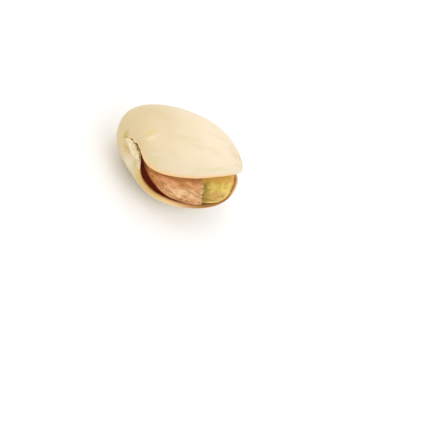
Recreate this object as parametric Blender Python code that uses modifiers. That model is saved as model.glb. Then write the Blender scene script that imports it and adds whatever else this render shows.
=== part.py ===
"""A pistachio in its gaping shell, lying on its lower half, with the kernel and its torn seed coat inside."""

import math

import bmesh
import bpy
from mathutils import Euler, Matrix, Vector

MM = 0.001

# Shell, in its own axes: x from the stem end to the tip, z across the seam plane, the open side at -y
SHELL_LENGTH = 20.5 * MM
SHELL_HALF_WIDTH = 6.5 * MM
UPPER_DEPTH = 5.5 * MM
LOWER_DEPTH = 4.8 * MM
STEM_SHARE = 0.40
LOWER_TIP_EXTRA = 1.05 * MM
UPPER_STEM_POWER = 0.79
LOWER_STEM_POWER = 0.79
FAR_STEM_POWER_DROP = 0.04
UPPER_TIP_POWER = 1.31
UPPER_FAR_TIP_POWER_RISE = 0.36
LOWER_TIP_POWER = 0.90
WALL = 1.0 * MM
RIM_WALL_SHARE = 0.65
SHELL_AROUND = 24
SHELL_RINGS = 26

# Gape: the two halves turn apart about the far seam, and the upper one bends up towards its tip
UPPER_TURN = math.radians(11.9)
LOWER_TURN = math.radians(12.8)
UPPER_GAPE_FROM_STEM = 0.228
LOWER_GAPE_FROM_STEM = 0.206
UPPER_FULL_FROM_STEM = 0.773
LOWER_FULL_FROM_STEM = 0.596
LOWER_FLARE = 0.92 * MM
FLARE_FULL_FROM_STEM = 0.376
TIP_BEND = math.radians(9.1)
TIP_BEND_FROM = -2.5 * MM
TIP_BEND_RUN = 11.0 * MM
SLIT_HALF_GAP = 0.08 * MM
OPEN_SEAM_FROM_STEM = 0.04
FAR_SEAM_FROM_STEM = 0.50

# Seam rising over the stem end, where it closes to a crack
SEAM_RISE = math.radians(31.5)
SEAM_RISE_AT = 0.133
SEAM_RISE_WIDTH = 0.124
SEAM_RISE_START = 0.06
LOWER_DIP = math.radians(23.2)
LOWER_DIP_AT = 0.374
LOWER_DIP_WIDTH = 0.117
LOWER_LAP = math.radians(7.2)
LOWER_LAP_AT = 0.229
LOWER_LAP_WIDTH = 0.037

# Relief: a low keel along the closed seam, a lip by the crack and the stem scar
KEEL_HEIGHT = 0.15 * MM
KEEL_HALF_ANGLE = math.radians(20.0)
LIP_HEIGHT = 0.20 * MM
LIP_AT = 0.14
LIP_WIDTH = 0.10
LIP_SHARE = 0.12
SCAR_DEPTH = 0.35 * MM
SCAR_RADIUS = 1.1 * MM

# Kernel, in the shell's axes, rolled with the lower half that it lies in
KERNEL_CENTRE = Vector((2.00, -1.40, -0.11)) * MM
KERNEL_ROLL = math.radians(21.5)
KERNEL_PITCH = math.radians(-3.2)
KERNEL_YAW = math.radians(-3.4)
KERNEL_STEM_REACH = 6.19 * MM
KERNEL_TIP_REACH = 9.32 * MM
KERNEL_HALF_WIDTH = 5.26 * MM
KERNEL_UP = 3.44 * MM
KERNEL_DOWN = 1.88 * MM
KERNEL_TIP_THINNING = 0.51
KERNEL_STEM_POWER = 1.51
KERNEL_TIP_POWER = 0.66
KERNEL_AROUND = 20
KERNEL_RINGS = 16
WRINKLE_HEIGHT = 0.12 * MM

# Seed coat, torn off the tip end of the kernel
COAT_GAP = 0.12 * MM
COAT_THICKNESS = 0.22 * MM
COAT_END = 0.381
COAT_SWING = 0.062
COAT_SWING_TURN = math.radians(50.0)
COAT_RAG = 0.012

# Rest pose on the lower half, with a small flat spot under the weight
ROLL = math.radians(8)
PITCH = math.radians(1.3)
FLAT_DEPTH = 0.20 * MM
CUTTER_SIZE = 0.05


def smooth(value):
    """Runs from 0 to 1 with level ends."""
    value = min(1.0, max(0.0, value))
    return value * value * (3.0 - 2.0 * value)


def bell(offset, width):
    return math.exp(-((offset / width) ** 2))


def shell_point(polar, share, upper):
    """Outside of the shell; polar is 0 at the tip, share runs from the far seam (0) to the open one (1)."""
    from_stem = 1.0 - polar / math.pi
    rise = SEAM_RISE * bell(from_stem - SEAM_RISE_AT, SEAM_RISE_WIDTH)
    rise *= min(1.0, from_stem / SEAM_RISE_START)
    dip = LOWER_DIP * bell(from_stem - LOWER_DIP_AT, LOWER_DIP_WIDTH)
    lap = LOWER_LAP * bell(from_stem - LOWER_LAP_AT, LOWER_LAP_WIDTH)
    around = share * (math.pi - rise) if upper else -share * (math.pi + rise - dip + lap)
    if math.cos(polar) > 0.0:
        reach = SHELL_LENGTH * (1.0 - STEM_SHARE) + (0.0 if upper else LOWER_TIP_EXTRA)
        power = UPPER_TIP_POWER if upper else LOWER_TIP_POWER
        if upper:
            power += UPPER_FAR_TIP_POWER_RISE * (1.0 + math.cos(around)) / 2.0
    else:
        reach = SHELL_LENGTH * STEM_SHARE
        power = UPPER_STEM_POWER if math.sin(around) > 0.0 else LOWER_STEM_POWER
        power -= FAR_STEM_POWER_DROP * max(0.0, math.cos(around))
    girth = max(0.0, math.sin(polar)) ** power
    full = UPPER_FULL_FROM_STEM if upper else LOWER_FULL_FROM_STEM
    start = UPPER_GAPE_FROM_STEM if upper else LOWER_GAPE_FROM_STEM
    opened = smooth((from_stem - start) / (full - start))
    flared = smooth((from_stem - LOWER_GAPE_FROM_STEM) / FLARE_FULL_FROM_STEM)
    half_width = SHELL_HALF_WIDTH
    if not upper:
        half_width += LOWER_FLARE * flared * max(0.0, -math.cos(around))
    depth = UPPER_DEPTH if math.sin(around) > 0.0 else LOWER_DEPTH
    keel = KEEL_HEIGHT * bell(around, KEEL_HALF_ANGLE)
    lip = 0.0 if upper else LIP_HEIGHT * bell(from_stem - LIP_AT, LIP_WIDTH) * bell(1.0 - share, LIP_SHARE)
    x = reach * math.cos(polar)
    y = (half_width + keel + lip) * girth * math.cos(around)
    z = (depth + lip) * girth * math.sin(around)
    from_pole = math.hypot(y, z)
    if x < 0.0:
        x += SCAR_DEPTH * bell(from_pole, SCAR_RADIUS)
    if share > 0.999 and from_stem > OPEN_SEAM_FROM_STEM + 0.01:
        z += SLIT_HALF_GAP if upper else -SLIT_HALF_GAP
    turn = (-UPPER_TURN if upper else LOWER_TURN) * opened
    pivot = SHELL_HALF_WIDTH * girth
    y, z = (
        pivot + (y - pivot) * math.cos(turn) - z * math.sin(turn),
        (y - pivot) * math.sin(turn) + z * math.cos(turn),
    )
    past = x - TIP_BEND_FROM
    if upper and past > 0.0:
        bend = TIP_BEND * smooth(past / TIP_BEND_RUN)
        x, z = (
            TIP_BEND_FROM + past * math.cos(bend) - z * math.sin(bend),
            past * math.sin(bend) + z * math.cos(bend),
        )
    return Vector((x, y, z))


def kernel_point(polar, around, offset):
    """Surface of the kernel, moved out by the offset; polar is 0 at the tip."""
    reach = KERNEL_TIP_REACH if math.cos(polar) > 0.0 else KERNEL_STEM_REACH
    power = KERNEL_TIP_POWER if math.cos(polar) > 0.0 else KERNEL_STEM_POWER
    girth = max(0.0, math.sin(polar)) ** power
    height = KERNEL_UP if math.sin(around) > 0.0 else KERNEL_DOWN
    if math.sin(around) < 0.0:
        height *= 1.0 - KERNEL_TIP_THINNING * smooth(math.cos(polar))
    wrinkle = WRINKLE_HEIGHT * girth * (math.sin(5.0 * around + 3.0 * polar) + 0.6 * math.sin(9.0 * around))
    spread = offset + wrinkle
    point = Vector(
        (
            (reach + offset) * math.cos(polar),
            (KERNEL_HALF_WIDTH + spread) * girth * math.cos(around),
            (height + spread) * girth * math.sin(around),
        )
    )
    return KERNEL_CENTRE + Euler((KERNEL_ROLL, KERNEL_PITCH, KERNEL_YAW)).to_matrix() @ point


def polar_angles(point):
    """Angle from the tip pole and angle around the long axis, of a point on the unit ball."""
    polar = math.acos(min(1.0, max(-1.0, point.z)))
    return polar, math.atan2(point.y, point.x)


def collection(name):
    made = bpy.data.collections.new(name)
    bpy.context.scene.collection.children.link(made)
    return made


def material(name, colour, roughness):
    made = bpy.data.materials.new(name)
    made.use_nodes = True
    shader = made.node_tree.nodes["Principled BSDF"]
    shader.inputs["Base Color"].default_value = (*colour, 1.0)
    shader.inputs["Roughness"].default_value = roughness
    return made


def add_object(name, bm, target, finish=None):
    mesh = bpy.data.meshes.new(name)
    bm.to_mesh(mesh)
    bm.free()
    obj = bpy.data.objects.new(name, mesh)
    target.objects.link(obj)
    if finish is not None:
        mesh.materials.append(finish)
        mesh.polygons.foreach_set("use_smooth", [True] * len(mesh.polygons))
    return obj


def subdivide(obj):
    modifier = obj.modifiers.new("round", "SUBSURF")
    modifier.levels = 1
    modifier.render_levels = 1


def face_outwards(bm):
    bm.normal_update()
    bmesh.ops.recalc_face_normals(bm, faces=bm.faces)


def rest_turn():
    return Euler((0.0, PITCH, 0.0)).to_matrix() @ Euler((-ROLL, 0.0, 0.0)).to_matrix()


def build_shell(target):
    bm = bmesh.new()
    bmesh.ops.create_uvsphere(bm, u_segments=SHELL_AROUND, v_segments=SHELL_RINGS, radius=1.0)
    slit = []
    for edge in bm.edges:
        ends = [polar_angles(vert.co) for vert in edge.verts]
        nearest_stem = 1.0 - max(polar for polar, _ in ends) / math.pi
        middle = (edge.verts[0].co + edge.verts[1].co) / 2.0
        if abs(middle.y) > 1e-4 or abs(edge.verts[0].co.z - edge.verts[1].co.z) < 1e-4:
            continue
        start = FAR_SEAM_FROM_STEM if middle.x > 0.0 else OPEN_SEAM_FROM_STEM
        if nearest_stem > start - 0.01:
            slit.append(edge)
    bmesh.ops.split_edges(bm, edges=slit)
    placed = {}
    rim = set()
    for vert in bm.verts:
        polar, around = polar_angles(vert.co)
        side = sum(face.calc_center_median().y for face in vert.link_faces)
        upper = side > 1e-6 if abs(vert.co.y) < 1e-4 else vert.co.y > 0.0
        share = abs(around) / math.pi
        if math.sin(polar) < 1e-4:
            share = 0.5
        placed[vert] = shell_point(polar, share, upper)
        if vert.is_boundary:
            rim.add(vert)
    turn = rest_turn()
    for vert, point in placed.items():
        vert.co = turn @ point
    face_outwards(bm)
    layer = bm.verts.layers.deform.verify()
    for vert in bm.verts:
        vert[layer][0] = RIM_WALL_SHARE if vert in rim else 1.0
    obj = add_object("shell", bm, target, material("shell", (0.82, 0.68, 0.47), 0.5))
    obj.vertex_groups.new(name="wall")
    wall = obj.modifiers.new("wall", "SOLIDIFY")
    wall.thickness = WALL
    wall.offset = -1.0
    wall.vertex_group = "wall"
    subdivide(obj)
    return obj


def build_kernel(target):
    bm = bmesh.new()
    bmesh.ops.create_uvsphere(bm, u_segments=KERNEL_AROUND, v_segments=KERNEL_RINGS, radius=1.0)
    turn = rest_turn()
    for vert in bm.verts:
        polar, around = polar_angles(vert.co)
        vert.co = turn @ kernel_point(polar, around, 0.0)
    face_outwards(bm)
    obj = add_object("kernel", bm, target, material("kernel", (0.55, 0.48, 0.14), 0.5))
    subdivide(obj)
    return obj


def coat_edge(around):
    """Polar angle of the torn edge, which wanders round the kernel."""
    rag = math.sin(8.0 * around + 2.0) + 0.7 * math.sin(10.0 * around)
    return math.pi * (COAT_END + COAT_SWING * math.sin(around + COAT_SWING_TURN) + COAT_RAG * rag)


def build_seed_coat(target):
    bm = bmesh.new()
    bmesh.ops.create_uvsphere(bm, u_segments=KERNEL_AROUND, v_segments=KERNEL_RINGS, radius=1.0)
    first_ring = math.pi * math.floor(COAT_END * KERNEL_RINGS) / KERNEL_RINGS
    off = [vert for vert in bm.verts if polar_angles(vert.co)[0] < first_ring - 0.01]
    bmesh.ops.delete(bm, geom=off, context="VERTS")
    turn = rest_turn()
    for vert in bm.verts:
        polar, around = polar_angles(vert.co)
        pulled = (math.pi - polar) / (math.pi - first_ring)
        polar = math.pi - pulled * (math.pi - coat_edge(around))
        vert.co = turn @ kernel_point(polar, around, COAT_GAP)
    face_outwards(bm)
    obj = add_object("seed_coat", bm, target, material("seed_coat", (0.46, 0.19, 0.09), 0.6))
    skin = obj.modifiers.new("skin", "SOLIDIFY")
    skin.thickness = COAT_THICKNESS
    skin.offset = 1.0
    subdivide(obj)
    return obj


def bounds(objects):
    """Lowest and highest corner of the finished meshes."""
    graph = bpy.context.evaluated_depsgraph_get()
    points = []
    for obj in objects:
        mesh = obj.evaluated_get(graph).to_mesh()
        points.extend(vert.co.copy() for vert in mesh.vertices)
    low = Vector(min(point[i] for point in points) for i in range(3))
    high = Vector(max(point[i] for point in points) for i in range(3))
    return low, high


def set_down(objects):
    """Moves the nut so that the floor takes off the flat spot and the origin is under its middle."""
    low, high = bounds(objects)
    middle = (low + high) / 2.0
    shift = Vector((-middle.x, -middle.y, -low.z - FLAT_DEPTH))
    for obj in objects:
        obj.data.transform(Matrix.Translation(shift))


def cut_flat_spot(shell, target):
    bm = bmesh.new()
    bmesh.ops.create_cube(bm, size=CUTTER_SIZE)
    bmesh.ops.translate(bm, verts=bm.verts, vec=Vector((0.0, 0.0, -CUTTER_SIZE / 2.0)))
    cutter = add_object("floor_cutter", bm, target)
    cutter.hide_render = True
    cut = shell.modifiers.new("flat_spot", "BOOLEAN")
    cut.operation = "DIFFERENCE"
    cut.solver = "EXACT"
    cut.object = cutter


def main():
    for obj in list(bpy.data.objects):
        bpy.data.objects.remove(obj)
    nut = collection("pistachio_in_shell")
    helpers = collection("cutters")
    shell = build_shell(nut)
    kernel = build_kernel(nut)
    coat = build_seed_coat(nut)
    bpy.context.view_layer.update()
    set_down([shell, kernel, coat])
    cut_flat_spot(shell, helpers)


main()
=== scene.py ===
"""Looks of a pistachio lying in its gaping shell, with its torn skin and kernel, on a pale floor."""

import logging
import math
from dataclasses import dataclass
from enum import Enum

import bmesh
import bpy
from mathutils import Euler, Matrix, Vector


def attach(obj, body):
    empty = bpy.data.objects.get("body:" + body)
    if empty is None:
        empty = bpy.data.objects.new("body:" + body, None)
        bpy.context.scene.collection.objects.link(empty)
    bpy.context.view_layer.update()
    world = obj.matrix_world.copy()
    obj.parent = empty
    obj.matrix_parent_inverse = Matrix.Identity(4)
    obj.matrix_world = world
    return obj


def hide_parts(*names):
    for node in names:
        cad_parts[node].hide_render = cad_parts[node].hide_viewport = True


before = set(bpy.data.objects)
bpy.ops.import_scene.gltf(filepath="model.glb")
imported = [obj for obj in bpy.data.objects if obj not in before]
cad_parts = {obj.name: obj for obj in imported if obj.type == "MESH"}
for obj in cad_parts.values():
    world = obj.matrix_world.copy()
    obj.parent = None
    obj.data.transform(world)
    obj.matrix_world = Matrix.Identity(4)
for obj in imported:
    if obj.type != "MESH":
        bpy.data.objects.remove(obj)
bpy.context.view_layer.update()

MM = 0.001
TINY = 1e-4
LOG = logging.getLogger("pistachio")
Triple = tuple[float, float, float]
Socket = bpy.types.NodeSocket


class Mark(Enum):
    """Numbers that the meshes carry at each point, for the relief and the finishes."""

    FROM_STEM = "from_stem"
    SHARE = "share"
    UPPER = "upper"
    INSIDE = "inside"
    AROUND = "around"
    RIM = "rim"
    STRIP = "strip"
    SCAR = "scar"
    INNER = "inner"
    TORN = "torn"
    TIP_EDGE = "tip_edge"


class Seam(Enum):
    """The two sides where the halves of the shell meet."""

    OPEN = "open"
    FAR = "far"


class Bed(Enum):
    """Where loose bits lie."""

    CRACK = "crack"
    TEAR = "tear"


def smooth(value: float) -> float:
    """Runs from 0 to 1 with level ends, as the value does."""
    value = min(1.0, max(0.0, value))
    return value * value * (3.0 - 2.0 * value)


def bell(offset: float, width: float) -> float:
    """A smooth hump of height 1, which has fallen to a third at its width."""
    return math.exp(-((offset / width) ** 2))


@dataclass(frozen=True)
class RestPose:
    """How the nut lies on the floor.

    Attributes:
        roll: Turn towards the gaping side, in degrees.
        pitch: Drop of the tip, in degrees.
        shift: Move that brings the flat spot to the floor, in metres.
    """

    roll: float = 8.0
    pitch: float = 1.3
    shift: Vector = Vector((-2.6378, 0.2427, 5.9069)) * MM

    def place(self, point: Vector) -> Vector:
        """Brings a point from the nut's own axes to its place on the floor.

        Args:
            point: Point in the nut's axes, in millimetres.

        Returns:
            The same point in the row frame, in metres.
        """
        pitch = Euler((0.0, math.radians(self.pitch), 0.0)).to_matrix()
        roll = Euler((math.radians(-self.roll), 0.0, 0.0)).to_matrix()
        return pitch @ roll @ (point * MM) + self.shift


class Graph:
    """Adds nodes to a node tree and links them, so that a finish or a relief reads from top to bottom."""

    def __init__(self, tree: bpy.types.NodeTree) -> None:
        """Keeps the shader or geometry tree that it adds to."""
        self.tree = tree

    def put(self, socket: Socket, value: object) -> None:
        """Links a socket to another, or sets its own value.

        Args:
            socket: Input to fill.
            value: Output socket, number, colour or vector. None leaves the input as it is.
        """
        if isinstance(value, Socket):
            self.tree.links.new(value, socket)
        elif value is not None:
            socket.default_value = value

    def node(self, kind: str, inputs: dict | None = None, **settings: object) -> bpy.types.Node:
        """Adds a node.

        Args:
            kind: Blender's type name of the node.
            inputs: What its inputs get, by their names or places.
            **settings: Attributes to set on it.

        Returns:
            The new node.
        """
        made = self.tree.nodes.new(kind)
        for name, value in settings.items():
            setattr(made, name, value)
        for key, value in (inputs or {}).items():
            self.put(made.inputs[key], value)
        return made

    def math(self, operation: str, *values: object) -> Socket:
        """One sum on numbers or on the sockets that carry them."""
        return self.node("ShaderNodeMath", dict(enumerate(values)), operation=operation).outputs[0]

    def times(self, first: object, *others: object) -> Socket:
        """Product of all the values.

        Args:
            first: First number or socket.
            *others: The others.

        Returns:
            The product's socket.
        """
        for other in others:
            first = self.math("MULTIPLY", first, other)
        return first

    def plus(self, first: object, second: object) -> Socket:
        """Sum of two values."""
        return self.math("ADD", first, second)

    def minus(self, first: object, second: object) -> Socket:
        """First value less the second."""
        return self.math("SUBTRACT", first, second)

    def rest(self, value: object) -> Socket:
        """What a share leaves of 1."""
        return self.math("SUBTRACT", 1.0, value)

    def vector(self, operation: str, first: object, second: object) -> Socket:
        """One sum on vectors.

        Args:
            operation: Name of the Vector Math node's operation.
            first: First vector or socket.
            second: Second vector, or the factor where the operation is SCALE.

        Returns:
            The result's socket.
        """
        inputs = {0: first, 3 if operation == "SCALE" else 1: second}
        return self.node("ShaderNodeVectorMath", inputs, operation=operation).outputs[0]

    def combine(self, x: object, y: object, z: object) -> Socket:
        """A vector from three numbers."""
        return self.node("ShaderNodeCombineXYZ", {0: x, 1: y, 2: z}).outputs[0]

    def step(self, value: object, low: float, high: float) -> Socket:
        """A smooth step.

        Args:
            value: Number that runs across the step.
            low: Where the step is 0.
            high: Where the step is 1, which may lie below the low end.

        Returns:
            The step's socket.
        """
        inputs = {"Value": value, "From Min": min(low, high), "From Max": max(low, high)}
        made = self.node("ShaderNodeMapRange", inputs, interpolation_type="SMOOTHSTEP")
        return made.outputs["Result"] if low < high else self.rest(made.outputs["Result"])

    def bell(self, value: object, middle: float, width: float) -> Socket:
        """A smooth hump of height 1 round a middle value.

        Args:
            value: Number that runs across the hump.
            middle: Where the hump is highest.
            width: Distance at which it has fallen to a third.

        Returns:
            The hump's socket.
        """
        offset = self.math("DIVIDE", self.minus(value, middle), width)
        return self.math("EXPONENT", self.times(offset, offset, -1.0))

    def noise(self, place: object, scale: float = 1.0, detail: float = 3.0, rough: float = 0.5,
              seed: object = 0.0, bend: float = 0.0) -> bpy.types.Node:
        """Adds a smooth noise from 0 to 1.

        Args:
            place: Where it is read.
            scale: Repeats to the unit of the place.
            detail: Number of finer layers.
            rough: Strength of the finer layers.
            seed: Chooses the pattern.
            bend: How far the pattern is bent.

        Returns:
            The noise's node, whose first output is a number and whose second is a vector.
        """
        inputs = {"Vector": place, "W": seed, "Scale": scale, "Detail": detail, "Roughness": rough,
                  "Distortion": bend}
        return self.node("ShaderNodeTexNoise", inputs, noise_dimensions="4D")


@dataclass(frozen=True)
class Spot:
    """A soft stain, placed by the numbers that the surface carries.

    Attributes:
        along: Share of the length from the stem end.
        across: Second coordinate of the surface.
        half_length: Distance along at which it has faded to a third.
        half_width: Distance across at which it has faded to a third.
        colour: Stain's colour.
        strength: Share of the stain at its middle.
        lean: How far across it moves for each unit along.
    """

    along: float
    across: float
    half_length: float
    half_width: float
    colour: Triple
    strength: float
    lean: float = 0.0


@dataclass(frozen=True)
class Grain:
    """One smooth noise over a surface.

    Attributes:
        seed: Chooses the pattern.
        scale: Repeats to the stretched millimetre.
        stretch: Factor along each of the object's axes, small along the grain.
        detail: Number of finer layers.
        rough: Strength of the finer layers.
        bend: How far the pattern is bent.
    """

    seed: float
    scale: float = 1.0
    stretch: Triple = (1.0, 1.0, 1.0)
    detail: float = 3.0
    rough: float = 0.6
    bend: float = 0.0


class Finish(Graph):
    """A material built from nodes round one Principled shader."""

    def __init__(self, name: str, roughness: float) -> None:
        """Makes the material.

        Args:
            name: Material's name.
            roughness: Roughness before any variation is linked.
        """
        self.material = bpy.data.materials.new(name)
        self.material.use_nodes = True
        super().__init__(self.material.node_tree)
        self.shader = self.tree.nodes["Principled BSDF"]
        self.put(self.shader.inputs["Roughness"], roughness)

    def mark(self, mark: Mark) -> Socket:
        """The number that the mesh carries under a mark."""
        return self.node("ShaderNodeAttribute", attribute_name=mark.value).outputs["Fac"]

    def grain(self, grain: Grain) -> Socket:
        """Noise from 0 to 1, read at the object's own coordinates.

        Args:
            grain: Its settings.

        Returns:
            The noise's socket.
        """
        source = self.node("ShaderNodeTexCoord").outputs["Object"]
        place = self.vector("MULTIPLY", source, tuple(part / MM for part in grain.stretch))
        made = self.noise(place, grain.scale, grain.detail, grain.rough, grain.seed, grain.bend)
        return made.outputs[0]

    def drift(self, grain: Grain) -> Socket:
        """Noise round 0, which moves stains off their straight lines."""
        return self.minus(self.grain(grain), 0.5)

    def blend(self, factor: object, first: object, second: object) -> Socket:
        """Mixes two colours.

        Args:
            factor: Share of the second colour.
            first: First colour, as red, green and blue or a socket.
            second: Second colour.

        Returns:
            The mixed colour's socket.
        """
        first, second = (
            (*colour, 1.0) if isinstance(colour, tuple) else colour for colour in (first, second)
        )
        inputs = {0: factor, 6: first, 7: second}
        return self.node("ShaderNodeMix", inputs, data_type="RGBA", blend_type="MIX").outputs[2]

    def coat(self, under: object, over: object, value: object, low: float, high: float,
             share: object = 1.0) -> Socket:
        """Lays a colour over another, more of it the further a number is across a step.

        Args:
            under: Colour underneath.
            over: Colour on top.
            value: Number that runs across the step.
            low: Where there is none of the top colour.
            high: Where there is most of it.
            share: How much that is.

        Returns:
            The colour's socket.
        """
        return self.blend(self.times(self.step(value, low, high), share), under, over)

    def stain(self, colour: object, along: object, across: object, spots: tuple[Spot, ...],
              share: object = 1.0) -> Socket:
        """Lays spots over a colour.

        Args:
            colour: Colour underneath.
            along: Surface's first coordinate.
            across: Its second coordinate.
            spots: Stains to lay.
            share: Where they show.

        Returns:
            The stained colour's socket.
        """
        for spot in spots:
            off = across
            if spot.lean:
                off = self.minus(across, self.times(self.minus(along, spot.along), spot.lean))
            shape = self.times(
                self.bell(along, spot.along, spot.half_length),
                self.bell(off, spot.across, spot.half_width),
                spot.strength,
                share,
            )
            colour = self.blend(shape, colour, spot.colour)
        return colour

    def shade(self, colour: object, from_stem: object, around: object, dark: Triple,
              strength: float) -> Socket:
        """Paints shade on the seed where the upper half of the shell hangs over it.

        Args:
            colour: Colour underneath.
            from_stem: Share of the length from the stem end.
            around: Angle round the seed.
            dark: Colour of the painted shade.
            strength: Share of it.

        Returns:
            The shaded colour's socket.
        """
        edge_at_stem, edge_slope = 3.087, 1.543
        edge = self.minus(edge_at_stem, self.times(from_stem, edge_slope))
        under = self.minus(edge, around)
        faded = self.step(under, low=0.80, high=0.20)
        return self.coat(colour, dark, under, -0.07, 0.05, self.times(faded, strength))

    def bumps(self, *layers: tuple[object, float, float]) -> Socket:
        """Turns heights into a normal, one on top of the other.

        Args:
            *layers: Each one's height from 0 to 1, its depth in millimetres and its strength.

        Returns:
            The normal's socket.
        """
        normal = None
        for height, depth, strength in layers:
            inputs = {"Height": height, "Distance": depth * MM, "Strength": strength, "Normal": normal}
            normal = self.node("ShaderNodeBump", inputs).outputs["Normal"]
        return normal

    def glow(self, specular: float, under: float, spread: Triple, depth: float) -> None:
        """Sets how the surface reflects light and lets it in.

        Args:
            specular: Level of the reflection.
            under: Share of light that travels under the surface.
            spread: How far red, green and blue travel, as shares of the depth.
            depth: Depth in millimetres.
        """
        inputs = self.shader.inputs
        self.put(inputs["Specular IOR Level"], specular)
        self.put(inputs["Subsurface Weight"], under)
        self.put(inputs["Subsurface Radius"], spread)
        self.put(inputs["Subsurface Scale"], depth * MM)

    def close(self, colour: object, roughness: object = None, normal: object = None) -> bpy.types.Material:
        """Links what varies to the shader.

        Args:
            colour: Base colour.
            roughness: Roughness.
            normal: Normal.

        Returns:
            The finished material.
        """
        inputs = self.shader.inputs
        for name, value in (("Base Color", colour), ("Roughness", roughness), ("Normal", normal)):
            self.put(inputs[name], value)
        return self.material


@dataclass(frozen=True)
class ShellFinish:
    """Smooth woody shell: cream, tan towards the stem end, with pale rims and a reddish inside, painted light
    over the tip half, and painted shade in dark red deeper inside and over the lower rim's tip.

    Attributes:
        cream: Main colour.
        ivory: Bleached patches, and painted light over the tip half.
        tan: Stem end and streaks.
        peach: Rim faces.
        straw: Rim of the lower half near its stem end.
        rim_shadow: Painted shadow over the rim of the lower half near its tip.
        pale: Torn strip by the crack.
        fibrous: Duller fibres in the strip.
        scar_yellow: Stem scar.
        scar_brown: Darker parts of the scar.
        crack_brown: Edges of the crack.
        inside: Inner wall near the rim.
        deep: Painted shade on the inner wall further in from the rim, dark red.
        bare: Inner wall at the tip, past the skin.
        streaks: Long streaks.
        patches: Bleached and tan patches.
        fine: Fine woody grain.
        wander: Moves the stains.
        fibre: Fibres of the strip and the scar.
        pits: Tiny pits.
        upper_spots: Stains on the upper half.
        lower_spots: Stains on the lower half, and painted shade below the end of the torn strip.
    """

    cream: Triple = (0.760, 0.635, 0.440)
    ivory: Triple = (0.860, 0.735, 0.550)
    tan: Triple = (0.620, 0.490, 0.270)
    peach: Triple = (0.860, 0.560, 0.270)
    straw: Triple = (0.660, 0.470, 0.160)
    rim_shadow: Triple = (0.390, 0.170, 0.032)
    pale: Triple = (0.870, 0.730, 0.500)
    fibrous: Triple = (0.660, 0.570, 0.380)
    scar_yellow: Triple = (0.660, 0.520, 0.170)
    scar_brown: Triple = (0.270, 0.200, 0.040)
    crack_brown: Triple = (0.200, 0.120, 0.020)
    inside: Triple = (0.740, 0.370, 0.150)
    deep: Triple = (0.700, 0.090, 0.015)
    bare: Triple = (0.620, 0.380, 0.150)
    streaks: Grain = Grain(3.0, stretch=(0.10, 0.55, 0.55), detail=5.0, bend=0.3)
    patches: Grain = Grain(7.0, scale=0.16, rough=0.5)
    fine: Grain = Grain(11.0, stretch=(0.5, 3.0, 3.0), detail=4.0)
    wander: Grain = Grain(19.0, scale=0.9)
    fibre: Grain = Grain(41.0, stretch=(1.6, 5.0, 2.4), detail=4.0, rough=0.7)
    pits: Grain = Grain(53.0, scale=5.5, detail=2.0, rough=0.5)
    upper_spots: tuple[Spot, ...] = (
        Spot(0.238, 0.706, 0.040, 0.022, (0.680, 0.530, 0.160), 0.75, -1.85),
        Spot(0.237, 0.820, 0.016, 0.014, (0.700, 0.560, 0.200), 0.55, -2.40),
        Spot(0.259, 0.738, 0.028, 0.020, (0.880, 0.640, 0.450), 0.75, -1.95),
        Spot(0.310, 0.807, 0.045, 0.014, (0.640, 0.510, 0.280), 0.45, -0.94),
        Spot(0.335, 0.855, 0.045, 0.014, (0.640, 0.530, 0.290), 0.45, -0.80),
        Spot(0.640, 0.885, 0.080, 0.022, (0.720, 0.640, 0.350), 0.60),
        Spot(0.300, 0.910, 0.060, 0.035, (0.640, 0.570, 0.310), 0.60),
        Spot(0.420, 0.640, 0.110, 0.020, (0.680, 0.550, 0.310), 0.35),
        Spot(0.330, 0.470, 0.100, 0.025, (0.680, 0.560, 0.310), 0.35),
        Spot(0.680, 0.780, 0.050, 0.060, (0.900, 0.700, 0.560), 0.50),
        Spot(0.170, 0.925, 0.050, 0.016, (0.600, 0.400, 0.220), 0.50),
    )
    lower_spots: tuple[Spot, ...] = (
        Spot(0.118, 0.826, 0.050, 0.044, (0.610, 0.410, 0.145), 0.95),
        Spot(0.132, 0.852, 0.036, 0.018, (0.640, 0.320, 0.130), 0.80),
        # Painted shade in the notch below the end of the torn strip:
        Spot(0.250, 0.895, 0.026, 0.018, (0.420, 0.330, 0.150), 0.50),
        Spot(0.360, 0.955, 0.080, 0.030, (0.560, 0.400, 0.130), 0.75),
        Spot(0.300, 0.870, 0.090, 0.030, (0.660, 0.590, 0.340), 0.50),
        Spot(0.226, 0.760, 0.060, 0.080, (0.860, 0.745, 0.570), 0.60),
        Spot(0.065, 0.870, 0.025, 0.050, (0.660, 0.530, 0.220), 0.70),
    )

    def outside(self, made: Finish, streaks: Socket, fine: Socket, wander: Socket) -> Socket:
        """Colour of the outer wall.

        Args:
            made: Material to add to.
            streaks: Long streaks.
            fine: Woody grain.
            wander: How far the stains are moved.

        Returns:
            The colour's socket.
        """
        from_stem, share, upper = (made.mark(mark) for mark in (Mark.FROM_STEM, Mark.SHARE, Mark.UPPER))
        patches = made.grain(self.patches)
        # Painted light: the outer wall turns paler towards the tip.
        tip_light = made.times(made.step(from_stem, low=0.30, high=0.80), 0.45)
        colour = made.blend(made.plus(made.times(patches, 0.5), tip_light), self.cream, self.ivory)
        stem_half = made.plus(from_stem, made.times(made.minus(patches, 0.5), 0.5))
        colour = made.coat(colour, self.tan, stem_half, low=0.62, high=0.12, share=0.85)
        colour = made.coat(colour, self.tan, streaks, low=0.48, high=0.68, share=0.40)
        colour = made.coat(colour, self.tan, fine, low=0.45, high=0.75, share=0.10)
        along, across = made.plus(from_stem, wander), made.minus(share, wander)
        colour = made.stain(colour, along, across, self.upper_spots, upper)
        colour = made.stain(colour, along, across, self.lower_spots, made.rest(upper))
        return made.coat(colour, self.peach, share, low=0.90, high=0.985, share=0.45)

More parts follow.
